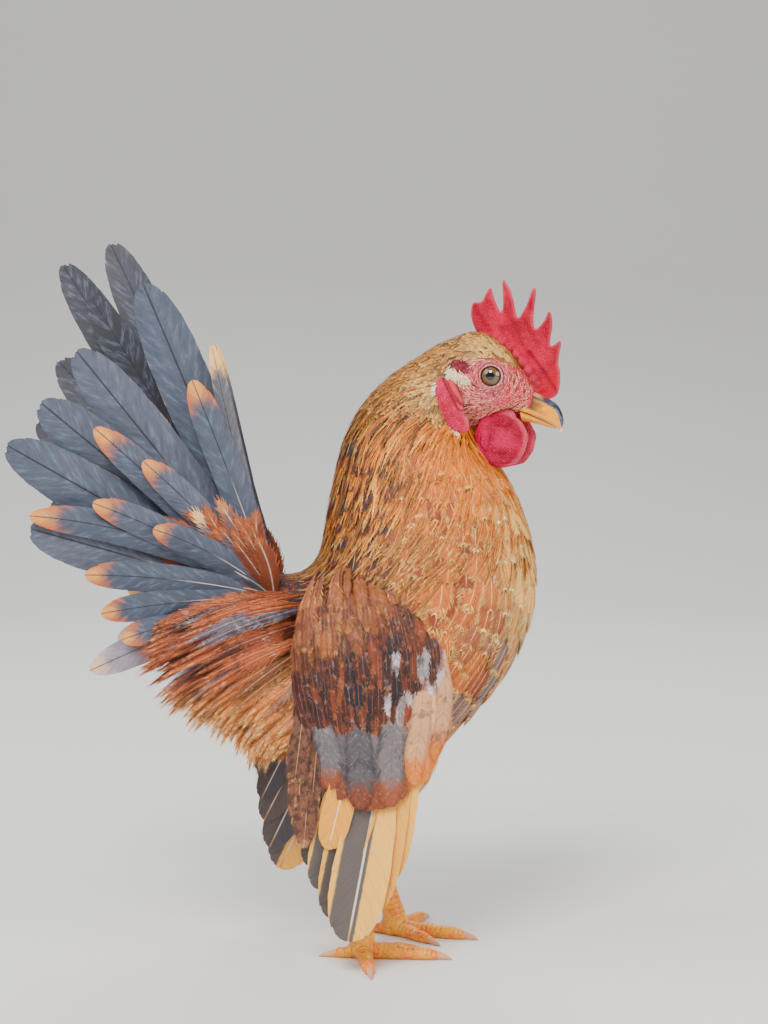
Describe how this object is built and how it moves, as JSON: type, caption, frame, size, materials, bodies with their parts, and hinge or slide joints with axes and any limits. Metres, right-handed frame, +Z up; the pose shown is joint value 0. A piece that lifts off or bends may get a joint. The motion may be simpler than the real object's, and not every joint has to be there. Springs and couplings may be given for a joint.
{
  "type": "serama cockerel",
  "caption": "Life-size standing serama cockerel, breast held high, fanned tail upright and wings hanging straight down.",
  "frame": {"origin": "on the floor under the middle of the bird's bounding box", "axes": "+X the way the bird's body faces, +Y to its left, +Z up"},
  "size_m": [0.1956, 0.092, 0.2564],
  "materials": {
    "tail": "slate grey-blue flight feather, satin",
    "saddle": "rust-red saddle feathers",
    "breast": "rust-orange and cream body feathers",
    "hackle": "golden brown hackle feathers",
    "face": "pink-red face skin with fine feathers",
    "comb": "red grained comb skin",
    "beak": "horn, slate ridge and yellow sides",
    "claws": "pale horn",
    "legs": "orange-yellow scaled skin",
    "eyes": "clear amber-brown eye",
    "wattles": "red grained wattle skin",
    "earlobes": "pink-red earlobe skin",
    "wings": "mahogany, slate and cream wing feathers"
  },
  "bodies": {
    "root": {"torso": "breast", "neck": "hackle", "head": "face", "comb": "comb", "beak_upper": "beak", "beak_lower": "beak", "tail_right": "tail", "saddle_right": "saddle", "wattle_right": "wattles", "earlobe_right": "earlobes", "eye_right": "eyes", "wing_right": "wings", "leg_right": "legs", "claw_right_middle": "claws", "claw_right_inner": "claws", "claw_right_outer": "claws", "claw_right_hind": "claws", "tail_left": "tail", "saddle_left": "saddle", "wattle_left": "wattles", "earlobe_left": "earlobes", "eye_left": "eyes", "wing_left": "wings", "leg_left": "legs", "claw_left_middle": "claws", "claw_left_inner": "claws", "claw_left_outer": "claws", "claw_left_hind": "claws"}
  },
  "joints": []
}
